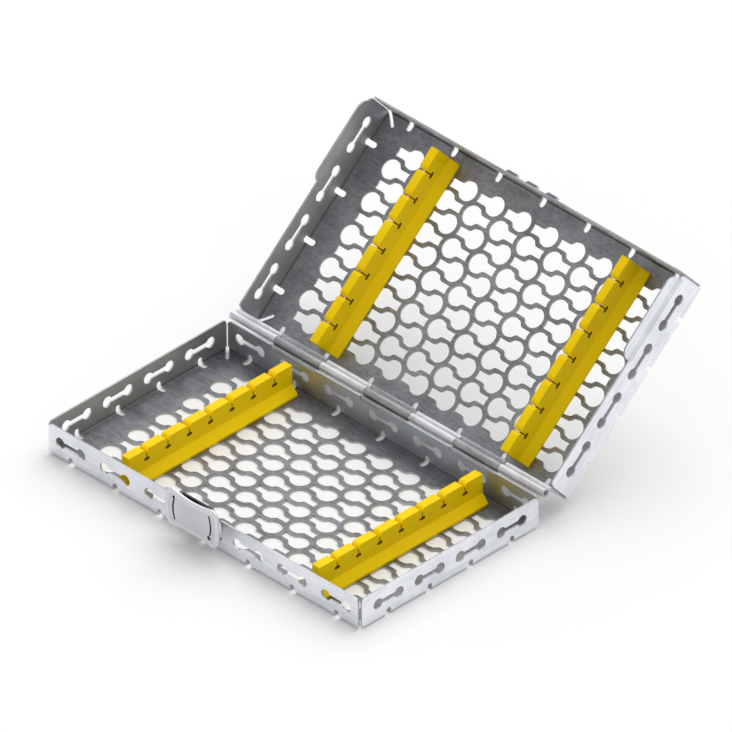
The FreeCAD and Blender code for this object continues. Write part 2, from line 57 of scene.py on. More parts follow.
# %% Sizes of the sheet and of the hinge
MM = 0.001
LENGTH, WIDTH, SHEET = 184.0 * MM, 105.0 * MM, 0.8 * MM
BASE_HEIGHT, LID_HEIGHT = 15.4 * MM, 17.0 * MM
BEND = 1.8 * MM
CORNER_GAP, RIM_CORNER, FOOT_CORNER = 1.1 * MM, 2.0 * MM, 1.8 * MM
RIM_GAP, REAR_DROP = 0.2 * MM, 0.5 * MM
AXIS_Y, AXIS_Z = 55.45 * MM, 15.5 * MM
ROLL_MIDDLE, LEAF_BEND = 1.45 * MM, 1.0 * MM
OPEN_ANGLE = 139.4
SLACK, MERGE = 0.01 * MM, 0.001 * MM

# %% Small helpers for working in edit mode


def start_fresh():
    """Leaves edit mode and deselects everything, so that an operator acts only on what is new."""
    if bpy.context.object and bpy.context.object.mode == "EDIT":
        bpy.ops.object.mode_set(mode="OBJECT")
    bpy.ops.object.select_all(action="DESELECT")


def work_on(piece):
    """Selects one piece alone and makes it the active one."""
    start_fresh()
    piece.select_set(True)
    bpy.context.view_layer.objects.active = piece


def edit(piece):
    """Goes into edit mode on one piece with all of it selected."""
    work_on(piece)
    bpy.ops.object.mode_set(mode="EDIT")
    bpy.ops.mesh.select_all(action="SELECT")


def pick(piece, kind, wanted):
    """In edit mode, selects the vertices, edges or faces whose corners all pass a test."""
    bpy.ops.mesh.select_mode(type=kind)
    bpy.ops.mesh.select_all(action="DESELECT")
    grid = bmesh.from_edit_mesh(piece.data)
    parts = {"VERT": grid.verts, "EDGE": grid.edges, "FACE": grid.faces}[kind]
    for part in parts:
        corners = [part] if kind == "VERT" else part.verts
        if all(wanted(corner.co) for corner in corners):
            part.select_set(True)
    grid.select_flush_mode()
    bmesh.update_edit_mesh(piece.data)


def near(a, b):
    """Whether two measures are the same, apart from what arithmetic adds."""
    return abs(a - b) < SLACK


def spin(steps, degrees, centre, axis):
    """Sweeps what is selected about an axis. The operator turns clockwise, so its axis is reversed here."""
    bpy.ops.mesh.spin(steps=steps, angle=math.radians(degrees), center=centre, axis=-Vector(axis))


def draw_out(by):
    """Extrudes what is selected by a vector, as when a wall is pulled up out of an edge."""
    bpy.ops.mesh.extrude_region_move(TRANSFORM_OT_translate={"value": by})


def face_outward(merge=0.0):
    """Merges double corners where a distance is given, turns all faces outward and leaves edit mode."""
    bpy.ops.mesh.select_all(action="SELECT")
    if merge:
        bpy.ops.mesh.remove_doubles(threshold=merge)
    bpy.ops.mesh.normals_make_consistent(inside=False)
    start_fresh()


def add_modifier(piece, kind, **settings):
    """Adds a modifier, sets it and applies it at once."""
    work_on(piece)
    modifier = piece.modifiers.new(kind.lower(), kind)
    for name, value in settings.items():
        setattr(modifier, name, value)
    bpy.ops.object.modifier_apply(modifier=modifier.name)
    return piece


def cut_away(piece, cutter):
    """Takes a cutter away from a piece and leaves the cutter's finish on the new faces."""
    add_modifier(piece, "BOOLEAN", object=cutter, operation="DIFFERENCE", solver="EXACT",
                 material_mode="TRANSFER")
    bpy.data.objects.remove(cutter)


def copy_of(piece, move=(0, 0, 0), turn=0.0):
    """A copy with its own mesh, turned about the Z axis and then moved, with its place in its mesh."""
    twin = piece.copy()
    twin.data = piece.data.copy()
    bpy.context.scene.collection.objects.link(twin)
    twin.data.transform(Matrix.Translation(Vector(move)) @ Matrix.Rotation(math.radians(turn), 4, "Z"))
    return twin


def join(pieces, name):
    """Joins pieces into the first one and gives it a name."""
    work_on(pieces[0])
    for piece in pieces:
        piece.select_set(True)
    bpy.ops.object.join()
    pieces[0].name = pieces[0].data.name = name
    return pieces[0]


def settle(piece):
    """Puts a piece's place, turn and scale into its mesh."""
    work_on(piece)
    bpy.ops.object.transform_apply(location=True, rotation=True, scale=True)
    return piece


def report(piece):
    """Prints how many faces a piece has and the box it fills."""
    corners = [Vector(corner) / MM for corner in piece.bound_box]
    low = [round(min(corner[i] for corner in corners), 2) for i in range(3)]
    high = [round(max(corner[i] for corner in corners), 2) for i in range(3)]
    print(piece.name, len(piece.data.polygons), "faces, from", low, "to", high, "mm")


# %% [markdown]
# ## Finishes
# A finish is a small network of shader nodes. Written node by node it is hard to read, so one small class
# wraps a socket and lets an expression such as `0.2 + 0.1 * streaks` add its Math nodes by itself.
# Only what changes over the surface is linked. What is the same everywhere is set on the shader's sockets.

# %% A socket that can be used in an expression


class Signal:
    """One output of a node. The operators add Math nodes to the same network."""

    def __init__(self, tree, socket):
        self.tree, self.socket = tree, socket

    def math(self, operation, other=None, flipped=False):
        """A Math node with this value first, or second when a number stands before it."""
        values = [other, self] if flipped else [self, other]
        sockets = {i: value for i, value in enumerate(values) if value is not None}
        return make(self.tree, "ShaderNodeMath", {"operation": operation}, sockets)

    def __add__(self, other):
        return self.math("ADD", other)

    def __radd__(self, other):
        return self.math("ADD", other, flipped=True)

    def __sub__(self, other):
        return self.math("SUBTRACT", other)

    def __rsub__(self, other):
        return self.math("SUBTRACT", other, flipped=True)

    def __mul__(self, other):
        return self.math("MULTIPLY", other)

    def __rmul__(self, other):
        return self.math("MULTIPLY", other, flipped=True)

    def above(self, low, high):
        """0 below low, 1 above high and smooth between them."""
        settings = {"interpolation_type": "SMOOTHSTEP"}
        sockets = {"Value": self, "From Min": low, "From Max": high}
        return make(self.tree, "ShaderNodeMapRange", settings, sockets)


def make(tree, kind, settings=None, sockets=None, output=0):
    """Adds a node: its settings come first, then the values or links of its sockets."""
    node = tree.nodes.new(kind)
    for name, value in (settings or {}).items():
        setattr(node, name, value)
    for name, value in (sockets or {}).items():
        if isinstance(value, Signal):
            tree.links.new(value.socket, node.inputs[name])
        else:
            node.inputs[name].default_value = value
    return Signal(tree, node.outputs[output])


# %% Where a pattern sits, noise and mixed colours


def place(tree, stretch, tilt=0.0):
    """The point on the object in metres, turned back by a tilt about X and then stretched for a pattern."""
    point = make(tree, "ShaderNodeTexCoord", output="Object")
    if tilt:
        point = make(tree, "ShaderNodeMapping", {}, {"Vector": point, "Rotation": (tilt, 0, 0)})
    return make(tree, "ShaderNodeMapping", {}, {"Vector": point, "Scale": stretch})


def noise(tree, point, detail=2.0, rough=0.5):
    """Soft random spots around 0.5. Their size comes from how far the place is stretched."""
    sockets = {"Vector": point, "Scale": 1.0, "Detail": detail, "Roughness": rough}
    return make(tree, "ShaderNodeTexNoise", {}, sockets)


# Mix has sockets of the same name for each kind of data. These are the places of those for colours.
MIX_FACTOR, MIX_FIRST, MIX_SECOND, MIX_RESULT = 0, 6, 7, 2


def mix(tree, factor, first, second):
    """A colour between two others. Colours go through Mix, because a Math node turns them grey."""
    sockets = {MIX_FACTOR: factor, MIX_FIRST: first, MIX_SECOND: second}
    return make(tree, "ShaderNodeMix", {"data_type": "RGBA"}, sockets, MIX_RESULT)


def finish(name, build, **fixed):
    """A material: build fills in what varies, and fixed sets sockets that are the same everywhere."""
    material = bpy.data.materials.new(name)
    material.use_nodes = True
    tree = material.node_tree
    shader = tree.nodes["Principled BSDF"]
    for socket, value in fixed.items():
        shader.inputs[socket.replace("_", " ")].default_value = value
    for socket, value in build(tree).items():
        tree.links.new(value.socket, shader.inputs[socket])
    return material


def bump(tree, height, distance, strength):
    """Lets light fall as if the surface rose and sank with a pattern."""
    return make(tree, "ShaderNodeBump", {}, {"Height": height, "Distance": distance, "Strength": strength})


# %% [markdown]
# ## Brushed steel
# The sheet was brushed along its length before it was punched, so it carries fine streaks, a few broader
# clouds where it was wiped, and small scratches from use. The streaks are noise that is stretched along one
# direction. The outside is painted bright, a painted reflection of the lit ground, and the inside darker,
# painted shade; its bends are painted darker still, and its walls paler with a painted sheen. The edge that
# the punch left is a matt middle grey.

# %% The steel finishes

FINE_STREAKS, BROAD_STREAKS, CLOUDS, WIPES, WIPE_TURN = 1900, 560, 55, (90, 1400, 1400), 0.6
# WALL_SHEEN is a painted sheen and BEND_SHADE a painted shade, both on the inside of a tray.
WHITE, WALL_SHEEN, BEND_SHADE = (1.0, 1.0, 1.0, 1.0), (0.66, 0.7, 0.78, 1.0), (0.02, 0.02, 0.022, 1.0)


def facing(tree, tilt):
    """How far a face looks along the X, Y and Z axes of its own tray, each from 0 to 1."""
    normal = make(tree, "ShaderNodeTexCoord", output="Normal")
    turned = make(tree, "ShaderNodeMapping", {}, {"Vector": normal, "Rotation": (tilt, 0, 0)})
    return [make(tree, "ShaderNodeSeparateXYZ", {}, {"Vector": turned}, axis).math("ABSOLUTE")
            for axis in "XYZ"]


def brushed(tree, tilt, reach):
    """Streaks that run along Y on the faces that look along X, and along X on all others."""
    sideways = facing(tree, tilt)[0].above(0.6, 0.8)
    layers = []
    for across, detail in ((FINE_STREAKS, 3.0), (BROAD_STREAKS, 4.0)):
        long_way = noise(tree, place(tree, (across / reach, across, across), tilt), detail)
        short_way = noise(tree, place(tree, (across, across / reach, across), tilt), detail)
        layers.append(long_way + sideways * (short_way - long_way))
    return layers


def steel(name, dark, light, roughness, tilt=0.0, scratch=0.5, metal=1.0, reach=30, relief=0.6, painted_bend_shade=0.0,
          painted_wall_sheen=0.0):
    """Brushed steel between two greys. The tilt is the lid's, so that its streaks follow its own walls.

    Reach is how many times longer than wide a streak is. The bend value darkens the bends with painted shade,
    and the wall value pales the walls with a painted sheen.
    """

    def build(tree):
        fine, broad = brushed(tree, tilt, reach)
        cloud = noise(tree, place(tree, (CLOUDS, CLOUDS, CLOUDS)), 4.0, 0.7)
        marks = noise(tree, place(tree, WIPES, tilt + WIPE_TURN)).above(0.62, 0.74)
        tone = (0.5 * fine + 0.2 * broad + 0.5 * cloud).above(0.4, 0.8)
        colour = mix(tree, tone, dark, light)
        colour = mix(tree, marks * (0.4 * scratch), colour, WHITE)
        # Painted light on the inside: a painted sheen pales the walls, and painted shade darkens the bends.
        if painted_bend_shade:
            along_x, along_y, along_z = facing(tree, tilt)
            colour = mix(tree, (1 - along_z) * painted_wall_sheen, colour, WALL_SHEEN)
            bend_shade_mask = (2 * along_z * along_x.math("MAXIMUM", along_y)).above(0.2, 0.95)
            colour = mix(tree, bend_shade_mask * painted_bend_shade, colour, BEND_SHADE)
        gloss = roughness + 0.2 * (fine - 0.5) + 0.14 * (cloud - 0.5)
        grain = bump(tree, fine + 0.6 * broad, 0.02 * MM, relief)
        return {"Base Color": colour, "Roughness": gloss, "Normal": grain}

    return finish(name, build, Metallic=metal)


def grey(value, blue=0.0):
    """A colour from how bright it looks on a screen, from 0 to 255, with a touch of blue."""
    linear = (value / 255.0) ** 2.2
    return (linear * (1 - blue), linear * (1 - blue * 0.5), linear * (1 + blue), 1.0)


# Solidify numbers the outside 0, and adds these for the inside and for the cut edge.
INSIDE, EDGE = 1, 2


def skin(name, tilt, inner_tones):
    """The three finishes of a tray, in the order in which Solidify numbers outside, inside and edge."""
    dark, light = inner_tones
    # The steel is the same on both sides: the outside is painted bright as a painted reflection, and the
    # inside darker as painted shade.
    return [steel(name + "_outside", grey(224, 0.05), grey(255, 0.03), 0.42, tilt, metal=0.85),
            steel(name + "_inside", grey(dark, 0.04), grey(light, 0.03), 0.5, tilt, 0.2,
                  reach=5, relief=0.2, painted_bend_shade=0.7, painted_wall_sheen=0.65),
            steel(name + "_cut", grey(158, 0.03), grey(206, 0.02), 0.5, tilt, 0.3, 0.6)]


LID_SKIN_TILT = math.radians(OPEN_ANGLE)
# The lid's inside is painted paler than the base's, painted light on the open lid.
BASE_SKIN = skin("base", 0.0, (100, 144))
LID_SKIN = skin("lid", LID_SKIN_TILT, (124, 172))
print("steel finishes:", [material.name for material in BASE_SKIN + LID_SKIN])

# %% [markdown]
# ## One folded tray
# The blank is cut flat, and each wall is bent up with a small radius. Here the panel starts as a plane.
# It is bisected where the walls' rounded feet begin, and the edge between those cuts is spun a quarter
# turn to make the bend, then extruded up to make the wall. The ends of the bend are moved out along a
# quarter circle, which rounds the wall's foot. Solidify gives the sheet its thickness at the end, because a
# fold is easiest on a surface, and it also tells inside, outside and cut edge apart.

# %% Fold up one wall

PANEL_X, PANEL_Y = LENGTH / 2 - BEND, WIDTH / 2 - BEND
FOOT_X, FOOT_Y = LENGTH / 2 - CORNER_GAP - FOOT_CORNER, WIDTH / 2 - CORNER_GAP - FOOT_CORNER
BEND_STEPS, CORNER_STEPS = 5, 4


def fold_up(tray, outward, height):
    """Spins the edge on one side into a bend and extrudes it up to a wall of a given height."""
    outward = Vector(outward)
    along = outward.cross(Vector((0, 0, 1)))
    reach = PANEL_X if outward.x else PANEL_Y
    foot = FOOT_Y if outward.x else FOOT_X
    pick(tray, "EDGE", lambda co: near(co.dot(outward), reach) and abs(co.dot(along)) < foot + SLACK)
    spin(BEND_STEPS, 90, outward * reach + Vector((0, 0, BEND)), along)
    draw_out((0, 0, height - BEND))
    grid = bmesh.from_edit_mesh(tray.data)
    for corner in grid.verts:
        beside = corner.co.dot(along)
        if corner.co.dot(outward) > reach + SLACK and near(abs(beside), foot):
            left = max(FOOT_CORNER - corner.co.z, 0.0)
            half = foot + math.sqrt(FOOT_CORNER ** 2 - left ** 2)
            corner.co += along * (math.copysign(half, beside) - beside)
    bmesh.update_edit_mesh(tray.data)
    pick(tray, "VERT", lambda co: near(co.z, height) and near(co.dot(outward), reach + BEND))
    bpy.ops.mesh.bevel(offset=RIM_CORNER, segments=CORNER_STEPS, affect="VERTICES")


# %% Fold a whole tray


def dress(piece, finishes):
    """Gives a piece its finishes, in the order of the numbers that its faces carry."""
    for finish_of_side in finishes:
        piece.data.materials.append(finish_of_side)


def thicken(piece, offset):
    """Gives a surface the sheet's thickness: on its inner side with an offset of -1, on both sides with 0."""
    return add_modifier(piece, "SOLIDIFY", thickness=SHEET, offset=offset, use_even_offset=True,
                        material_offset=INSIDE, material_offset_rim=EDGE)


def folded_sheet(name, height, rear_height, finishes):
    """A tray without its punchings. The rear wall is lower, because the hinge's leaves leave it there."""
    start_fresh()
    bpy.ops.mesh.primitive_plane_add(size=1)
    tray = bpy.context.object
    tray.name = name
    dress(tray, finishes)
    edit(tray)
    bpy.ops.transform.resize(value=(2 * PANEL_X, 2 * PANEL_Y, 1))
    for x in (-FOOT_X, FOOT_X):
        bpy.ops.mesh.select_all(action="SELECT")
        bpy.ops.mesh.bisect(plane_co=(x, 0, 0), plane_no=(1, 0, 0))
    for y in (-FOOT_Y, FOOT_Y):
        bpy.ops.mesh.select_all(action="SELECT")
        bpy.ops.mesh.bisect(plane_co=(0, y, 0), plane_no=(0, 1, 0))
    fold_up(tray, (0, -1, 0), height)
    fold_up(tray, (0, 1, 0), rear_height)
    fold_up(tray, (1, 0, 0), height)
    fold_up(tray, (-1, 0, 0), height)
    face_outward(MERGE)
    floor = min(tray.data.polygons, key=lambda face: face.center.length)
    if floor.normal.z > 0:
        tray.data.flip_normals()
    return thicken(tray, -1)


base = folded_sheet("base_shell", BASE_HEIGHT, BASE_HEIGHT - REAR_DROP, BASE_SKIN)
lid = folded_sheet("lid_shell", LID_HEIGHT, LID_HEIGHT - REAR_DROP, LID_SKIN)
report(base)
report(lid)

# %% [markdown]
# ## The punches
# Every opening is punched with one of three tools: a keyhole for the panel, a dumbbell for the walls and a
# short slot across the bends, which makes the sheet easy to fold. Each punch is modelled once as a solid and
# copied to every place. The keyhole starts as a disc: eight of its corners are moved to make its shoulders
# and its neck, whose end is hollow, so that the web to the next head has the same width all along.

# %% The keyhole punch

HEAD, NECK, ROOT, WEB = 4.47 * MM, 3.85 * MM, 4.4 * MM, 1.8 * MM
HEAD_SIDES, ROOT_ROUND, PANEL_PUNCH, HOLE_PITCH = 24, 0.8 * MM, 4 * MM, 15.8 * MM
SHOULDERS = ((52.5, (2.75 * MM, 3.95 * MM)), (37.5, (3.55 * MM, 3.05 * MM)))


def finish_punch(punch, depth):
    """Gives a flat outline its depth, half below and half above the sheet."""
    edit(punch)
    bpy.ops.transform.translate(value=(0, 0, -depth / 2))
    draw_out((0, 0, depth))
    face_outward()
    return punch


def neck_end(y):
    """How far a keyhole's neck reaches along X: up to a web's width from the next head."""
    return HOLE_PITCH - math.sqrt((HEAD + WEB) ** 2 - y ** 2)


def keyhole_punch():
    """A disc whose corners on the right, named by their angles, are drawn out into shoulders and a neck."""
    start_fresh()
    bpy.ops.mesh.primitive_circle_add(vertices=HEAD_SIDES, radius=HEAD, fill_type="NGON",
                                      rotation=(0, 0, math.pi / HEAD_SIDES))
    punch = settle(bpy.context.object)
    end = neck_end(NECK / 2)
    edit(punch)
    goals = SHOULDERS + ((22.5, (ROOT, NECK / 2)), (7.5, (end, NECK / 2)))
    for side in (-1, 1):
        for degrees, (x, y) in goals:
            angle = side * math.radians(degrees)
            at = Vector((HEAD * math.cos(angle), HEAD * math.sin(angle), 0))
            pick(punch, "VERT", lambda co: (co - at).length < 0.2 * MM)
            bpy.ops.transform.translate(value=Vector((x, side * y, 0)) - at)
    pick(punch, "VERT", lambda co: near(co.x, ROOT) and near(abs(co.y), NECK / 2))
    bpy.ops.mesh.bevel(offset=ROOT_ROUND, segments=3, affect="VERTICES")
    pick(punch, "EDGE", lambda co: near(co.x, end))
    bpy.ops.mesh.subdivide(number_cuts=3)
    grid = bmesh.from_edit_mesh(punch.data)
    for corner in grid.verts:
        if near(corner.co.x, end) and abs(corner.co.y) < NECK / 2 - 0.1 * MM:
            corner.co.x = neck_end(corner.co.y)
    bmesh.update_edit_mesh(punch.data)
    return finish_punch(punch, PANEL_PUNCH)


# %% The keyhole pattern

ROW_PITCH, ROWS, COLUMNS = 8.0 * MM, 11, 10
BASE_PATTERN, LID_PATTERN = (1.7 * MM, -1.8 * MM, 0), (0.1 * MM, 1.3 * MM, 0)


def keyhole_rows():
    """All the punches of a panel: rows that point one way, with the rows between them turned round."""
    punch = keyhole_punch()
    rows = []
    for row in range(ROWS):
        y = (row - ROWS // 2) * ROW_PITCH
        turn = 180 if row % 2 == 0 else 0
        shift = HOLE_PITCH / 4 if row % 2 == 0 else -HOLE_PITCH / 4
        for column in range(COLUMNS):
            rows.append(copy_of(punch, ((column - (COLUMNS - 1) / 2) * HOLE_PITCH + shift, y, 0), turn))
    bpy.data.objects.remove(punch)
    return join(rows, "keyhole_punches")


keyholes = keyhole_rows()
report(keyholes)

# %% [markdown]
# A dumbbell is a round lobe drawn out to the middle of its slot, and a copy of that half turned round.
# The slot across a bend is a bar with round ends, which stands at the fold and cuts wall and panel alike.

# %% The dumbbell punch

LOBE, LOBE_SIDES, LOBE_SPACING, WALL_PUNCH = 2.6 * MM, 20, 12.2 * MM, 6 * MM


def dumbbell_punch():
    """One dumbbell in the XY plane with its slot along X, which starts at the mouth of each lobe."""
    half_step = math.pi / LOBE_SIDES
    mouth = LOBE * math.cos(3 * half_step)
    start_fresh()
    bpy.ops.mesh.primitive_circle_add(vertices=LOBE_SIDES, radius=LOBE, fill_type="NGON",
                                      rotation=(0, 0, half_step))
    punch = settle(bpy.context.object)
    edit(punch)
    pick(punch, "VERT", lambda co: co.x > mouth + 0.1 * MM)
    bpy.ops.mesh.dissolve_verts()
    pick(punch, "EDGE", lambda co: co.x > mouth - 0.1 * MM)
    draw_out((LOBE_SPACING / 2 - mouth, 0, 0))
    start_fresh()
    punch.data.transform(Matrix.Translation((-LOBE_SPACING / 2, 0, 0)))
    whole = join([punch, copy_of(punch, turn=180)], "dumbbell_punch")
    edit(whole)
    bpy.ops.mesh.remove_doubles(threshold=SLACK)
    return finish_punch(whole, WALL_PUNCH)


# %% The punches at the bends and corners

BEND_SLOT, BEND_SLOT_REACH, BEND_SLOT_RISE, PAST = 2.6 * MM, 4.7 * MM, 3.8 * MM, 1.0 * MM
RELIEF, RELIEF_LENGTH, RELIEF_INSET, RELIEF_DEPTH = 0.75 * MM, 9 * MM, 6 * MM, 3.6 * MM


def bend_punch():
    """A bar with round ends, which stands across the bend at the front of the tray."""
    start_fresh()
    bpy.ops.mesh.primitive_cube_add(size=1)
    punch = bpy.context.object
    edit(punch)
    bpy.ops.transform.resize(value=(BEND_SLOT, BEND_SLOT_REACH + PAST, BEND_SLOT_RISE + PAST))
    bpy.ops.transform.translate(value=(0, (BEND_SLOT_REACH - PAST) / 2, (BEND_SLOT_RISE - PAST) / 2))
    for axis, end in ((1, BEND_SLOT_REACH), (2, BEND_SLOT_RISE)):
        for x in (-BEND_SLOT / 2, BEND_SLOT / 2):
            pick(punch, "EDGE", lambda co: near(co[axis], end) and near(co.x, x))
            bpy.ops.mesh.bevel(offset=BEND_SLOT / 2 - SLACK, segments=4, affect="EDGES")
    start_fresh()
    return punch


def corner_punches():
    """A diagonal slot with round ends at each corner of the panel."""
    punches = []
    for x, y in ((1, 1), (-1, 1), (-1, -1), (1, -1)):
        start_fresh()
        bpy.ops.mesh.primitive_cylinder_add(vertices=20, radius=RELIEF, depth=RELIEF_DEPTH)
        slot = settle(bpy.context.object)
        edit(slot)
        pick(slot, "VERT", lambda co: co.x > SLACK)
        bpy.ops.transform.translate(value=(RELIEF_LENGTH, 0, 0))
        start_fresh()
        inner_end = Vector((x * (LENGTH / 2 - RELIEF_INSET), y * (WIDTH / 2 - RELIEF_INSET), 0))
        slot.data.transform(Matrix.Translation(inner_end) @ Matrix.Rotation(math.atan2(y, x), 4, "Z"))
        punches.append(slot)
    return punches


# %% The places of the wall punches

LONG_PLACES = [(i - 3) * 26.0 * MM for i in range(7)]
SIDE_PLACES = [(i - 1.5) * 23.9 * MM for i in range(4)]
DUMBBELL_DROP = 6.9 * MM


def on_front(punch, x):
    """A copy of a punch at a place along the front wall, which it is drawn for."""
    return copy_of(punch, (x, -WIDTH / 2, 0))


def on_rear(punch, x):
    """A copy on the rear wall, turned half round."""
    return copy_of(punch, (x, WIDTH / 2, 0), 180)


def on_sides(punch, y):
    """Two copies, one on each side wall, each turned a quarter round."""
    return [copy_of(punch, (LENGTH / 2, y, 0), 90), copy_of(punch, (-LENGTH / 2, y, 0), -90)]


def wall_punches(height):
    """Every punch of the four walls. The front's middle has no dumbbell, because the latch stands there."""
    flat = dumbbell_punch()
    flat.data.transform(Matrix.Rotation(math.pi / 2, 4, "X"))
    flat.data.transform(Matrix.Translation((0, 0, height - DUMBBELL_DROP)))
    across = bend_punch()
    punches = []
    for x in LONG_PLACES:
        punches += [on_rear(flat, x), on_rear(across, x), on_front(across, x)]
        if not near(x, 0):
            punches.append(on_front(flat, x))
    for y in SIDE_PLACES:
        punches += on_sides(flat, y) + on_sides(across, y)
    bpy.data.objects.remove(flat)
    bpy.data.objects.remove(across)
    return punches


print("dumbbells on a long wall:", len(LONG_PLACES), "and on a side wall:", len(SIDE_PLACES))

# %% [markdown]
# ## The hinge
# Each leaf leaves the top of the rear wall, bends outward and rolls round the pin. The strip starts as a
# flat plane between the two, and its edges are spun: a quarter turn towards the wall, and most of a full
# turn round the pin. The lid owns the odd knuckles and the base the even ones.

# %% Roll the knuckles

KNUCKLES, KNUCKLE_GAP = 7, 0.3 * MM
ROLL_STEPS, ROLL_ANGLE, LEAF_STEPS = 26, 290, 6


def knuckle_spans(first):
    """From where to where each second knuckle runs along the pin, with half a gap on each inner end."""
    pitch = LENGTH / KNUCKLES
    spans = []
    for i in range(first, KNUCKLES, 2):
        left = -LENGTH / 2 + i * pitch + (KNUCKLE_GAP / 2 if i else 0)
        right = -LENGTH / 2 + (i + 1) * pitch - (KNUCKLE_GAP / 2 if i < KNUCKLES - 1 else 0)
        spans.append((left, right))
    return spans


def rolled_knuckle(x0, x1, height, finishes):
    """A leaf that is bent into the rear wall at one end and rolled round the pin at the other."""
    axis = Vector((0, AXIS_Y, height + RIM_GAP / 2))
    leaf_z = axis.z - ROLL_MIDDLE
    near_y = WIDTH / 2 - SHEET / 2 + LEAF_BEND
    start_fresh()
    bpy.ops.mesh.primitive_plane_add(size=1)
    leaf = bpy.context.object
    dress(leaf, finishes)
    edit(leaf)
    bpy.ops.transform.resize(value=(x1 - x0, AXIS_Y - near_y, 1))
    bpy.ops.transform.translate(value=((x0 + x1) / 2, (AXIS_Y + near_y) / 2, leaf_z))
    pick(leaf, "EDGE", lambda co: near(co.y, AXIS_Y))
    spin(ROLL_STEPS, ROLL_ANGLE, axis, (1, 0, 0))
    pick(leaf, "EDGE", lambda co: near(co.y, near_y) and near(co.z, leaf_z))
    spin(LEAF_STEPS, 90, (0, near_y, leaf_z - LEAF_BEND), (1, 0, 0))
    face_outward(MERGE)
    strip = Vector((0, near_y + 0.5 * MM, leaf_z))
    flat = min(leaf.data.polygons, key=lambda face: (face.center - strip).length)
    if flat.normal.z > 0:
        leaf.data.flip_normals()
    return thicken(leaf, 0)


# %% Notches under the knuckles


def box_punch(x0, x1, y0, y1, z0, z1):
    """A block between two places along each axis. Which of the two is larger makes no difference."""
    start_fresh()
    bpy.ops.mesh.primitive_cube_add(size=1, location=((x0 + x1) / 2, (y0 + y1) / 2, (z0 + z1) / 2))
    punch = bpy.context.object
    punch.scale = (abs(x1 - x0), abs(y1 - y0), abs(z1 - z0))
    return settle(punch)


def hinge_notches(first, height):
    """The wall is cut down where a leaf of its own turns out of it."""
    low = height + RIM_GAP / 2 - ROLL_MIDDLE - LEAF_BEND
    return [box_punch(x0 - KNUCKLE_GAP, x1 + KNUCKLE_GAP, WIDTH / 2 - 2 * SHEET, WIDTH / 2 + SHEET,
                      low, height + SHEET) for x0, x1 in knuckle_spans(first)]


print("knuckles of the lid:", len(knuckle_spans(0)), "and of the base:", len(knuckle_spans(1)))

# %% [markdown]
# ## Punching and finishing the trays
# The punches are joined in groups, and one Boolean takes each group away: first the panel's, then the walls'
# and then the notches'. The base also gets the notch in which its latch swings, and the lid loses the stretch
# of each side wall that its skirt takes the place of.

# %% Punch the base


def punch_out(tray, punches, name):
    """Takes the punches away from a tray and leaves the finish of a cut edge where they were."""
    cutter = join(punches, name)
    cutter.data.materials.append(tray.data.materials[EDGE])
    cut_away(tray, cutter)


NOTCH, NOTCH_FOOT, NOTCH_OUT, NOTCH_IN = 10.2 * MM, 5.1 * MM, 1.5 * MM, 2 * MM
PIN_Y, PIN_Z, PIN_END = -WIDTH / 2 + SHEET / 2, 7.0 * MM, 1.0 * MM
notch = box_punch(-NOTCH, NOTCH, -WIDTH / 2 - NOTCH_OUT, -WIDTH / 2 + NOTCH_IN,
                  NOTCH_FOOT, BASE_HEIGHT + 2 * SHEET)
pin_ends = []
for side in (-1, 1):
    start_fresh()
    bpy.ops.mesh.primitive_cylinder_add(vertices=20, radius=PIN_END, depth=4 * MM,
                                        location=(side * NOTCH, PIN_Y, PIN_Z), rotation=(math.pi / 2, 0, 0))
    pin_ends.append(settle(bpy.context.object))

punch_out(base, [copy_of(keyholes, BASE_PATTERN)], "base_panel_punches")
punch_out(base, wall_punches(BASE_HEIGHT), "base_wall_punches")
punch_out(base, hinge_notches(1, BASE_HEIGHT) + corner_punches() + [notch], "base_notches")
punch_out(base, pin_ends, "base_pin_ends")
report(base)

# %% Punch the lid

SKIRT_START, SKIRT_LENGTH = -49.5 * MM, 40.0 * MM
SKIRT_STEP, STEP_IN, STEP_TOP, SKIRT_RISE, SKIRT_CORNER = 1.6 * MM, 1.1 * MM, 0.1 * MM, 5.3 * MM, 4.95 * MM
gaps = [box_punch(side * (LENGTH / 2 - 2 * SHEET), side * (LENGTH / 2 + SHEET), SKIRT_START,
                  SKIRT_START + SKIRT_LENGTH, LID_HEIGHT - SKIRT_STEP, LID_HEIGHT + SHEET)
        for side in (-1, 1)]
punch_out(lid, [copy_of(keyholes, LID_PATTERN)], "lid_panel_punches")
bpy.data.objects.remove(keyholes)
punch_out(lid, wall_punches(LID_HEIGHT), "lid_wall_punches")
punch_out(lid, hinge_notches(0, LID_HEIGHT) + corner_punches() + gaps, "lid_notches")
report(lid)

# %% [markdown]
# The lid's knuckles are painted paler than the sheet's inside, a painted highlight on the rolled tubes, and
# the base's a duller grey, painted shade under their leaves. Outside and inside look alike on a knuckle, so
# each of them has one finish and a cut edge.

# %% Join the knuckles to their trays
# Painted shade on the base's knuckles, and a painted highlight on the lid's.
knuckle_in_painted_shade = steel("painted_shade_knuckle", grey(144, 0.04), grey(188, 0.03), 0.5, 0.0, 0.4, reach=12, relief=0.3)
knuckle_in_painted_light = steel("painted_light_knuckle", grey(196, 0.04), grey(240, 0.03), 0.55, LID_SKIN_TILT, 0.5,
               reach=12, relief=0.3)
dull, bright = [knuckle_in_painted_shade, knuckle_in_painted_shade, BASE_SKIN[EDGE]], [knuckle_in_painted_light, knuckle_in_painted_light, LID_SKIN[EDGE]]
base = join([base] + [rolled_knuckle(x0, x1, BASE_HEIGHT, dull) for x0, x1 in knuckle_spans(1)], "base_shell")
lid = join([lid] + [rolled_knuckle(x0, x1, LID_HEIGHT, bright) for x0, x1 in knuckle_spans(0)], "lid_shell")
report(base)
report(lid)

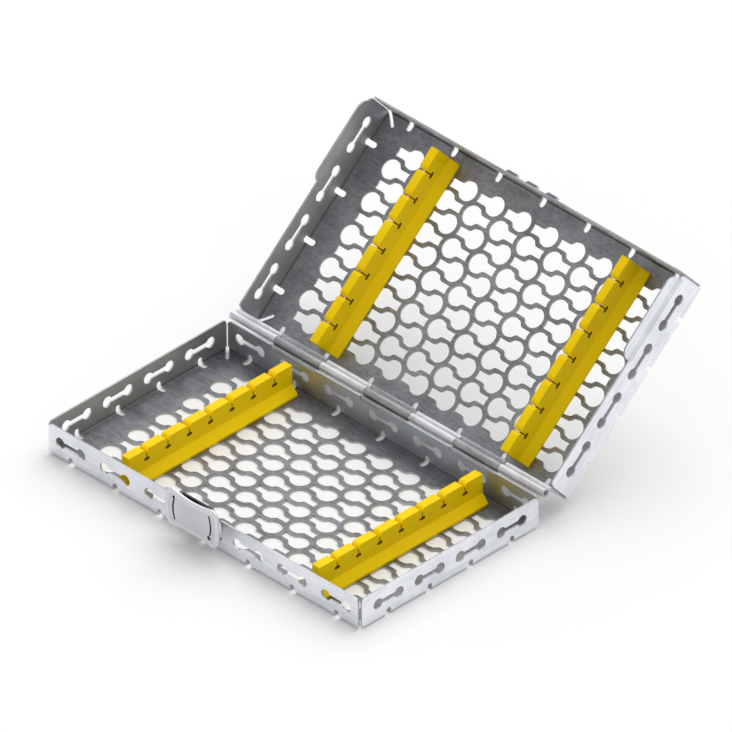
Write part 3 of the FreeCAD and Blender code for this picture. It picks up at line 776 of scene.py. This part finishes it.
# %% [markdown]
# ## The base's latch ears, and the lid's skirts and bumps
# Two short ears on the base hold the latch pin. Each side wall of the lid steps inward at its rim and runs
# on as a skirt, which guides the lid into the base. Three bumps are pressed out of the lid's front wall.

# %% Ears for the latch pin

EAR_INNER, EAR_OUTER, EAR_ROLL, EAR_FOOT_TOP = 6.3 * MM, 9.4 * MM, 1.25 * MM, 6.2 * MM


def latch_ear(side):
    """A rolled ear: a tube round the pin with a foot that stands on the notch's lower edge."""
    start_fresh()
    x0, x1 = side * EAR_INNER, side * EAR_OUTER
    bpy.ops.mesh.primitive_circle_add(vertices=32, radius=EAR_ROLL, fill_type="NOTHING")
    ring = bpy.context.object
    dress(ring, BASE_SKIN)
    ring.rotation_euler = (0, math.pi / 2, 0)
    ring.location = (x0, PIN_Y, PIN_Z)
    settle(ring)
    edit(ring)
    draw_out((x1 - x0, 0, 0))
    face_outward()
    add_modifier(ring, "SOLIDIFY", thickness=SHEET, offset=0, use_even_offset=True)
    foot = box_punch(x0, x1, -WIDTH / 2, -WIDTH / 2 + SHEET, NOTCH_FOOT, EAR_FOOT_TOP)
    return join([ring, foot], "latch_ear")


base = join([base, latch_ear(-1), latch_ear(1)], "base_shell")

# %% Skirts and catch bumps

BUMP_SIZE, BUMP_OUT, BUMP_DROP, BUMP_PITCH = (5.8 * MM, 1.7 * MM, 2.8 * MM), 0.55 * MM, 3.2 * MM, 11.7 * MM


def lid_skirt(side):
    """A plane that steps inward at the rim, drawn up and rounded at its two free corners."""
    start_fresh()
    bpy.ops.mesh.primitive_plane_add(size=1)
    skirt = bpy.context.object
    dress(skirt, LID_SKIN)
    edit(skirt)
    low, rim, top = LID_HEIGHT - SKIRT_STEP, LID_HEIGHT - STEP_TOP, LID_HEIGHT + SKIRT_RISE
    outer, stepped = LENGTH / 2, LENGTH / 2 - STEP_IN
    grid = bmesh.from_edit_mesh(skirt.data)
    for corner in grid.verts:
        y = SKIRT_START + (SKIRT_LENGTH if corner.co.y > 0 else 0)
        corner.co = Vector((outer, y, low)) if corner.co.x < 0 else Vector((stepped, y, rim))
    bmesh.update_edit_mesh(skirt.data)
    pick(skirt, "EDGE", lambda co: near(co.z, rim))
    draw_out((0, 0, top - rim))
    pick(skirt, "VERT", lambda co: near(co.z, top))
    bpy.ops.mesh.bevel(offset=SKIRT_CORNER, segments=9, affect="VERTICES")
    face_outward()
    if sum(face.normal.x * face.area for face in skirt.data.polygons) < 0:
        skirt.data.flip_normals()
    thicken(skirt, -1)
    if side < 0:
        skirt.data.transform(Matrix.Scale(-1, 4, (1, 0, 0)))
        skirt.data.flip_normals()
    return skirt


def catch_bump(x):
    """A wedge with soft edges: steep towards the panel, and sloped towards the rim as a lead-in."""
    start_fresh()
    bpy.ops.mesh.primitive_cube_add(size=1)
    raised = bpy.context.object
    dress(raised, LID_SKIN)
    edit(raised)
    bpy.ops.transform.resize(value=BUMP_SIZE)
    bpy.ops.transform.translate(value=(x, -WIDTH / 2 - BUMP_OUT, LID_HEIGHT - BUMP_DROP))
    pick(raised, "EDGE", lambda co: co.y < -WIDTH / 2 - BUMP_OUT and co.z > LID_HEIGHT - BUMP_DROP)
    bpy.ops.transform.translate(value=(0, 0, -BUMP_SIZE[2] / 2))
    pick(raised, "VERT", lambda co: co.y < -WIDTH / 2 - BUMP_OUT)
    bpy.ops.mesh.bevel(offset=0.35 * MM, segments=2, affect="EDGES")
    start_fresh()
    # The bumps take the inside finish, which is painted darker than the outside as painted shade.
    for face in raised.data.polygons:
        face.material_index = INSIDE
    return raised


bumps = [catch_bump((i - 1) * BUMP_PITCH) for i in range(3)]
lid = join([lid, lid_skirt(1), lid_skirt(-1)] + bumps, "lid_shell")
report(lid)

# %% [markdown]
# ## Turning the lid over
# A mirror in Z lays the lid on the base, and a turn about the hinge's axis opens it to where it rests.
# A mirror turns a mesh inside out, so its faces are flipped back.

# %% Open the lid


def lid_place():
    """The matrix that takes a shape from the tray's own frame to the open lid."""
    axis = Vector((0, AXIS_Y, AXIS_Z))
    closed = Matrix.Translation((0, 0, AXIS_Z + RIM_GAP / 2 + LID_HEIGHT)) @ Matrix.Scale(-1, 4, (0, 0, 1))
    turn = Matrix.Rotation(math.radians(-OPEN_ANGLE), 4, "X")
    return Matrix.Translation(axis) @ turn @ Matrix.Translation(-axis) @ closed


def turn_over(piece):
    """Puts a piece that was drawn in the lying lid's frame onto the open lid."""
    piece.data.transform(lid_place())
    piece.data.flip_normals()
    return piece


turn_over(lid)
report(lid)

# %% [markdown]
# A finished piece gets soft shading where its faces meet gently. It then rides on its body, so that it moves
# with it, and stands for the CAD node whose place it takes.

# %% Hand over the trays

SOFT_ANGLE = 32


def hand_over(piece, body, *nodes):
    """The last steps of a piece: soft shading where faces meet gently, its body and the nodes it replaces."""
    work_on(piece)
    bpy.ops.object.shade_smooth_by_angle(angle=math.radians(SOFT_ANGLE))
    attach(piece, body)
    if nodes:
        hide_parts(*nodes)
    report(piece)


hand_over(base, "base", "base_tray")
hand_over(lid, "lid", "lid_tray")

# %% [markdown]
# ## Silicone combs
# A comb is one moulding: a blade on a sloping foot, with seven notches that grip an instrument each. The
# notch has rounded shoulders, a slit and a small hole at its end, so that the silicone can give way.
# The blade and its foot are one outline drawn along Y, and the notches are taken out with one Boolean.

# %% The silicone finish


def silicone(tree):
    """Bright yellow with faint clouds and a very fine grain."""
    cloud = noise(tree, place(tree, (40, 40, 40)), 3.0)
    dust = noise(tree, place(tree, (1500, 1500, 1500)))
    colour = mix(tree, cloud.above(0.3, 0.75), (0.97, 0.65, 0.0, 1), (1.0, 0.71, 0.0, 1))
    return {"Base Color": colour, "Roughness": 0.36 + 0.16 * cloud + 0.08 * dust,
            "Normal": bump(tree, dust, 0.01 * MM, 0.5)}


def shaded_silicone(tree):
    """The same silicone painted darker deep inside a notch, a painted shade where little light comes in."""
    cloud = noise(tree, place(tree, (300, 300, 300)))
    colour = mix(tree, cloud, (0.2, 0.115, 0.002, 1), (0.42, 0.25, 0.004, 1))
    return {"Base Color": colour, "Roughness": 0.5 + 0.2 * cloud}


yellow_silicone = finish("yellow_silicone", silicone, Specular_IOR_Level=0.12)
painted_shade_silicone = finish("painted_shade_silicone", shaded_silicone, Specular_IOR_Level=0.12)

# %% One comb, then four

COMB_TOP, COMB_LENGTH, COMB_PITCH, LID_COMB_SHIFT = 15.2 * MM, 95.0 * MM, 12.4 * MM, 1.1 * MM
COMB_PLACES = {"left": -50.9 * MM, "right": 61.0 * MM}
COMB_OUTLINE = [(-5.45, 0.8), (5.45, 0.8), (5.45, 2.0), (2.25, 5.7),
                (2.25, 15.2), (-2.25, 15.2), (-2.25, 5.7), (-5.45, 2.0)]
GROOVE_HALF, GROOVE_LENGTH, GROOVE_TOP = 3.05 * MM, 90.4 * MM, 3.1 * MM
NOTCH_LENGTH, SHARP_ANGLE = 14 * MM, 50


def drawn_prism(outline, to_point, depth, name="prism"):
    """A disc whose corners are moved to an outline in millimetres, and then drawn out by a vector."""
    start_fresh()
    bpy.ops.mesh.primitive_circle_add(vertices=len(outline), radius=1, fill_type="NGON")
    prism = bpy.context.object
    prism.name = name
    edit(prism)
    grid = bmesh.from_edit_mesh(prism.data)
    grid.verts.ensure_lookup_table()
    for corner, (across, high) in zip(grid.verts, outline):
        corner.co = to_point(across * MM, high * MM)
    bmesh.update_edit_mesh(prism.data)
    draw_out(depth)
    face_outward()
    return prism


def round_points(centre, radius, first, last, count):
    """Points along an arc, from one angle to the other in degrees."""
    angles = [math.radians(first + (last - first) * i / count) for i in range(count + 1)]
    return [(centre[0] + radius * math.cos(a), centre[1] + radius * math.sin(a)) for a in angles]


def soften(piece, width, segments):
    """Rounds the sharp edges of a piece."""
    add_modifier(piece, "BEVEL", width=width, segments=segments, limit_method="ANGLE",
                 angle_limit=math.radians(SHARP_ANGLE))


def notch_punch():
    """The gap between two teeth: round shoulders, a slit and an oblong hole, drawn out along X."""
    # All in millimetres, from the middle of the comb's top.
    shoulder, slit, depth, hole_round, hole_reach = 2.1, 0.27, 4.8, 0.78, 0.85
    half = round_points((-shoulder - slit, -shoulder), shoulder, 90, 0, 6) + [(-slit, hole_round - depth)]
    half = [(-shoulder - slit, 1.0)] + half + round_points((-hole_reach, -depth), hole_round, 90, 270, 6)
    outline = half + [(-y, z) for y, z in reversed(half)]
    punch = drawn_prism(outline, lambda y, z: Vector((-NOTCH_LENGTH / 2, y, COMB_TOP + z)),
                        (NOTCH_LENGTH, 0, 0), "notch")
    dress(punch, (yellow_silicone, painted_shade_silicone))
    # Faces deep in the notch are painted darker, painted shade in the hole and slit.
    for face in punch.data.polygons:
        face.material_index = 1 if face.center.z < COMB_TOP - shoulder * MM else 0
    return punch


def silicone_comb():
    """The blade on its foot, with seven notches and the groove that slides onto the rail."""
    blank = drawn_prism(COMB_OUTLINE, lambda x, z: Vector((x, -COMB_LENGTH / 2, z)),
                        (0, COMB_LENGTH, 0), "comb")
    dress(blank, (yellow_silicone,))
    soften(blank, 0.25 * MM, 2)
    punch = notch_punch()
    punches = [copy_of(punch, (0, (i - 3) * COMB_PITCH, 0)) for i in range(7)]
    bpy.data.objects.remove(punch)
    groove = box_punch(-GROOVE_HALF, GROOVE_HALF, -GROOVE_LENGTH / 2, GROOVE_LENGTH / 2, 0.0, GROOVE_TOP)
    for cutter in (join(punches, "comb_punches"), groove):
        cut_away(blank, cutter)
    return blank


comb = silicone_comb()
report(comb)
for side, x in COMB_PLACES.items():
    in_base = copy_of(comb, (x, 0, 0))
    in_base.name = "base_" + side + "_silicone"
    hand_over(in_base, "base", "base_" + side + "_comb")
    in_lid = turn_over(copy_of(comb, (x, LID_COMB_SHIFT, 0)))
    in_lid.name = "lid_" + side + "_silicone"
    hand_over(in_lid, "lid", "lid_" + side + "_comb")
bpy.data.objects.remove(comb)

# %% [markdown]
# ## The latch
# A pale pull plate is held by a dark hook that swings on its pin. The plate is one flat outline with bowed
# sides, a soft edge and two curved slits, and it is shaped from a disc whose corners follow the outline.

# %% Latch finishes


def blasted(name, dark, light):
    """Steel that was blasted matt, between two greys."""

    def build(tree):
        grain = noise(tree, place(tree, (1800, 1800, 1800)))
        cloud = noise(tree, place(tree, (90, 90, 90)), 3.0)
        colour = mix(tree, 0.6 * cloud + 0.4 * grain, dark, light)
        return {"Base Color": colour, "Roughness": 0.46 + 0.12 * grain,
                "Normal": bump(tree, grain, 0.015 * MM, 0.5)}

    return finish(name, build, Metallic=0.6)


def dark_polish(tree):
    """Almost black and glossy, with a few paler rubs."""
    cloud = noise(tree, place(tree, (120, 120, 120)), 3.0)
    wear = noise(tree, place(tree, (300, 40, 900))).above(0.62, 0.8)
    colour = mix(tree, 0.5 * cloud, (0.016, 0.017, 0.02, 1), (0.035, 0.037, 0.042, 1))
    colour = mix(tree, 0.3 * wear, colour, (0.12, 0.12, 0.13, 1))
    return {"Base Color": colour, "Roughness": 0.2 + 0.12 * cloud}


plate_centre = blasted("plate_centre", grey(202, 0.03), grey(228, 0.02))
plate_border = blasted("plate_border", grey(214, 0.03), grey(240, 0.02))
# The hook's own near-black finish, which also serves as painted shade on the cut faces of the plate's slits.
dark_hook_and_slit_shade = finish("dark_hook_and_slit_shade", dark_polish, Metallic=0.4)

# %% The pull plate

# The outline and the slits are in millimetres, seen from the front, and PLATE_MIDDLE is the slits' height.
PLATE_BACK, PLATE_FRONT, PLATE_MIDDLE = -58.1 * MM, -59.3 * MM, 15.4
PLATE_BORDER, PLATE_SUNK, SLIT_WIDTH = 1.9 * MM, 0.12 * MM, 0.9
SLIT_PUNCH_FRONT, SLIT_PUNCH_LENGTH = -61 * MM, 4 * MM


def arc_points(a, b, c, count):
    """Points along the circle through three points, from the first to the last, without the last."""
    (ax, ay), (bx, by), (cx, cy) = a, b, c
    aa, bb, cc = ax ** 2 + ay ** 2, bx ** 2 + by ** 2, cx ** 2 + cy ** 2
    scale = 2 * (ax * (by - cy) + bx * (cy - ay) + cx * (ay - by))
    x0 = (aa * (by - cy) + bb * (cy - ay) + cc * (ay - by)) / scale
    y0 = (aa * (cx - bx) + bb * (ax - cx) + cc * (bx - ax)) / scale
    radius = math.hypot(ax - x0, ay - y0)
    first, middle, last = [math.atan2(y - y0, x - x0) for x, y in (a, b, c)]
    sweep = (last - first) % (2 * math.pi)
    if (middle - first) % (2 * math.pi) > sweep:
        sweep -= 2 * math.pi
    angles = [first + sweep * i / count for i in range(count)]
    return [(x0 + radius * math.cos(angle), y0 + radius * math.sin(angle)) for angle in angles]


def plate_outline():
    """The right half from its top middle to its foot, and its mirror image back up."""
    high, low, half = 24.7, 6.1, 15.8
    right = arc_points((0, 23.1), (half - 11, 23.45), (half - 5.6, high - 0.25), 6)
    right += arc_points((half - 5.6, high - 0.25), (half - 1.7, high - 1.0), (half - 0.5, high - 4.2), 8)
    right += arc_points((half - 0.5, high - 4.2), (half, PLATE_MIDDLE), (half - 0.6, low + 3.6), 10)
    right += arc_points((half - 0.6, low + 3.6), (half - 2.1, low + 0.7), (half - 5.4, low), 8)
    right += [(half - 5.4, low), (half - 6.4, low + 0.25), (half - 7.6, low + 0.8)]
    return right + [(-x, z) for x, z in reversed(right[1:])]


SLIT_BOW = arc_points((10.4, -5.7), (11.5, 0), (10.4, 5.7), 12) + [(10.4, 5.7)]
SLIT_OUTLINES = (SLIT_BOW + [(x - SLIT_WIDTH, z) for x, z in reversed(SLIT_BOW)],
                 round_points((10.1, -5.3), 1.05, 0, 345, 23))


def slit_punches(outline):
    """One outline of the slit on the right, and the same on the left, turned half a turn."""
    punches = []
    for sign in (1, -1):
        def place_point(x, z):
            return Vector((sign * x, SLIT_PUNCH_FRONT, PLATE_MIDDLE * MM + sign * z))
        punches.append(drawn_prism(outline, place_point, (0, SLIT_PUNCH_LENGTH, 0)))
    return punches


def pull_plate():
    """The plate with a soft edge, a centre that is sunk a little within its border, and the slits, whose cut
    faces are painted near-black as painted shade.
    """
    plate = drawn_prism(plate_outline(), lambda x, z: Vector((x, PLATE_BACK, z)),
                        (0, PLATE_FRONT - PLATE_BACK, 0), "pull_plate")
    dress(plate, (plate_centre, plate_border, dark_hook_and_slit_shade))
    soften(plate, 0.28 * MM, 3)
    for face in plate.data.polygons:
        face.material_index = 1
    edit(plate)
    pick(plate, "FACE", lambda co: near(co.y, PLATE_FRONT))
    bpy.ops.mesh.inset(thickness=PLATE_BORDER)
    plate.active_material_index = 0
    bpy.ops.object.material_slot_assign()
    bpy.ops.mesh.inset(thickness=PLATE_SUNK, depth=-PLATE_SUNK)
    start_fresh()
    # The slits' cut faces take the hook's near-black finish, a painted shade that makes the slits look dark.
    for outline in SLIT_OUTLINES:
        cutter = join(slit_punches(outline), "slit_punches")
        cutter.data.materials.append(dark_hook_and_slit_shade)
        cut_away(plate, cutter)
    return plate


hand_over(pull_plate(), "latch", "latch_plate")

# %% [markdown]
# ## The nodes that are kept
# The hook, the pins and the rails keep their CAD shapes, which are exact, and get their finishes here.

# %% Finishes of the kept nodes
pin_steel = steel("pin_steel", grey(150, 0.02), grey(205, 0.02), 0.25)
rail_steel = steel("rail_steel", grey(120, 0.02), grey(170, 0.02), 0.35)
kept = {"latch_bracket": dark_hook_and_slit_shade, "hinge_pin": pin_steel, "latch_pin": pin_steel,
        "base_left_rail": rail_steel, "base_right_rail": rail_steel,
        "lid_left_rail": rail_steel, "lid_right_rail": rail_steel}
for node, material in kept.items():
    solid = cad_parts[node]
    solid.data.materials.clear()
    solid.data.materials.append(material)
print("kept nodes:", sorted(kept))

# %% [markdown]
# ## The studio
# The photograph has a white ground with one soft shadow. A large plane carries the shadow, the world gives
# an even white light, and one soft sun from behind on the left gives the shadow its direction. The ground
# throws back less light than its white would, so that what faces down doesn't glow. It lies a hair below
# the base, because two faces in one plane would be drawn in patches.

# %% Ground and light

WORLD_LIGHT, SUN_LIGHT, SUN_SPREAD, SUN_SIDE = 0.69, 1.5, 65, Vector((-0.15, 0.7, 1.0))
GROUND_SIZE, GROUND_DROP, THROWN_BACK = 8, 0.05 * MM, (0.6, 0.6, 0.6, 1)


def ground_colour(tree):
    """White where the camera or a first reflection sees it, and darker for the light that it throws back."""
    tone = noise(tree, place(tree, (1.5, 1.5, 1.5)), 1.0)
    white = mix(tree, tone, (0.93, 0.93, 0.925, 1), (0.94, 0.94, 0.94, 1))
    first = make(tree, "ShaderNodeLightPath", output="Ray Depth").math("LESS_THAN", 1.5)
    mirrored = make(tree, "ShaderNodeLightPath", output="Is Glossy Ray") * first
    seen = make(tree, "ShaderNodeLightPath", output="Is Camera Ray").math("MAXIMUM", mirrored)
    return {"Base Color": mix(tree, seen, THROWN_BACK, white)}


start_fresh()
bpy.ops.mesh.primitive_plane_add(size=GROUND_SIZE, location=(0, 0, -GROUND_DROP))
ground = bpy.context.object
ground.name = "ground"
ground.data.materials.append(finish("ground_white", ground_colour, Roughness=0.9))

world = bpy.data.worlds.new("studio")
bpy.context.scene.world = world
world.use_nodes = True
sky = world.node_tree.nodes["Background"]
sky.inputs["Color"].default_value = WHITE
sky.inputs["Strength"].default_value = WORLD_LIGHT

start_fresh()
bpy.ops.object.light_add(type="SUN", location=SUN_SIDE)
sun = bpy.context.object
sun.name = "key"
sun.data.energy = SUN_LIGHT
sun.data.angle = math.radians(SUN_SPREAD)
sun.rotation_euler = SUN_SIDE.to_track_quat("Z", "Y").to_euler()
print("sun from", [round(value, 2) for value in SUN_SIDE], "with a disc of", SUN_SPREAD, "degrees")

# %% [markdown]
# The photograph was taken from far away, so that lines which are parallel stay so. The camera is therefore an
# orthographic one. Its three angles, its scale and the place of the object's origin in the picture were
# fitted to corners of the trays, and it is turned a little about its own axis.

# %% The camera
PICTURE, ORIGIN_X, ORIGIN_Y = 732, 293.837, 489.656
PIXELS_PER_METRE, CAMERA_DISTANCE = 2418.82, 1.5
azimuth, elevation, roll = math.radians(45.711), math.radians(35.059), math.radians(-0.755)
right = Vector((math.cos(azimuth), math.sin(azimuth), 0))
back = Vector((math.sin(azimuth) * math.cos(elevation), -math.cos(azimuth) * math.cos(elevation),
               math.sin(elevation)))
up = back.cross(right)
turned_right = right * math.cos(roll) + up * math.sin(roll)
turned_up = up * math.cos(roll) - right * math.sin(roll)
aim = (turned_right * ((PICTURE / 2 - ORIGIN_X) / PIXELS_PER_METRE)
       + turned_up * ((ORIGIN_Y - PICTURE / 2) / PIXELS_PER_METRE))
camera_data = bpy.data.cameras.new("camera")
camera_data.type = "ORTHO"
camera_data.ortho_scale = PICTURE / PIXELS_PER_METRE
camera_data.clip_start, camera_data.clip_end = 0.01, 20
camera = bpy.data.objects.new("camera", camera_data)
bpy.context.scene.collection.objects.link(camera)
turned = Matrix((turned_right, turned_up, back)).transposed().to_4x4()
camera.matrix_world = Matrix.Translation(aim + back * CAMERA_DISTANCE) @ turned
bpy.context.scene.camera = camera
bpy.context.scene.view_settings.view_transform = "Standard"
print("camera looks at", [round(value / MM, 1) for value in aim], "mm")
